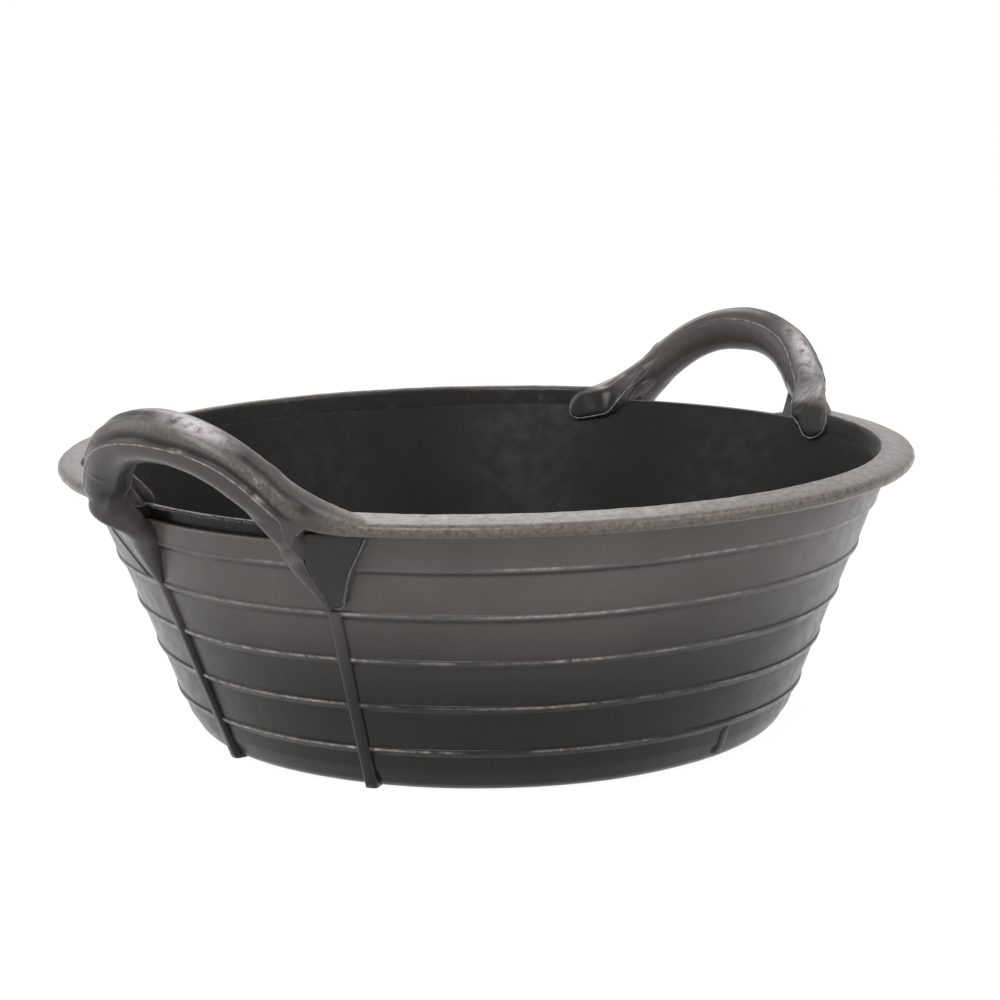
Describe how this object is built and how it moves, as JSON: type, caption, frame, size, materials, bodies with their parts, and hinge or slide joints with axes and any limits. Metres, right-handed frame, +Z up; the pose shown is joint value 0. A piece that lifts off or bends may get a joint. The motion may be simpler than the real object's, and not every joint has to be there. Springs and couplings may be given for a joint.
{
  "type": "flexible rubber feed bucket",
  "caption": "Round, shallow flexible rubber bucket with a ribbed tapered wall, a flanged lip and an arched handle on each side that folds in and out.",
  "frame": {"origin": "middle of the tub's footprint, on the surface that it stands on", "axes": "+Z up along the tub's axis, +X through the middle of the right handle to within two degrees, -Y the front side"},
  "size_m": [0.6304, 0.5452, 0.2356],
  "materials": {
    "moulded_rubber": "matt moulded black rubber, dusty",
    "worn_rubber": "black rubber, rubbed at its edges",
    "nylon_cord": "undyed twisted nylon"
  },
  "bodies": {
    "tub": {"wall_shell": "moulded_rubber", "floor_disc": "moulded_rubber", "rim_lip_front": "worn_rubber", "rim_lip_rear": "worn_rubber", "handle_left_leg_front": "moulded_rubber", "handle_left_leg_rear": "moulded_rubber", "handle_left_tongue_front": "moulded_rubber", "handle_left_tongue_rear": "moulded_rubber", "handle_left_gusset_front": "moulded_rubber", "handle_left_gusset_rear": "moulded_rubber", "handle_left_cord_tail_front": "nylon_cord", "handle_left_cord_tail_rear": "nylon_cord", "wall_strip_left_front": "moulded_rubber", "wall_strip_left_rear": "moulded_rubber", "handle_right_leg_front": "moulded_rubber", "handle_right_leg_rear": "moulded_rubber", "handle_right_tongue_front": "moulded_rubber", "handle_right_tongue_rear": "moulded_rubber", "handle_right_gusset_front": "moulded_rubber", "handle_right_gusset_rear": "moulded_rubber", "handle_right_cord_tail_front": "nylon_cord", "handle_right_cord_tail_rear": "nylon_cord", "wall_strip_right_front": "moulded_rubber", "wall_strip_right_rear": "moulded_rubber", "base_strip_front": "moulded_rubber", "base_strip_rear": "moulded_rubber"},
    "handle_left": {"handle_left_strap": "worn_rubber", "handle_left_cord": "nylon_cord"},
    "handle_right": {"handle_right_strap": "worn_rubber", "handle_right_cord": "nylon_cord"}
  },
  "joints": [
    {"name": "handle_left_flex", "type": "hinge", "parent": "tub", "child": "handle_left", "pos_m": [-0.27948, -0.00463, 0.1905], "axis": [0.0166, -0.9999, 0], "range_deg": [-35, 35], "stiffness_Nm_per_rad": 6},
    {"name": "handle_right_flex", "type": "hinge", "parent": "tub", "child": "handle_right", "pos_m": [0.27936, -0.00927, 0.1905], "axis": [0.0332, 0.9995, 0], "range_deg": [-35, 35], "stiffness_Nm_per_rad": 6}
  ]
}
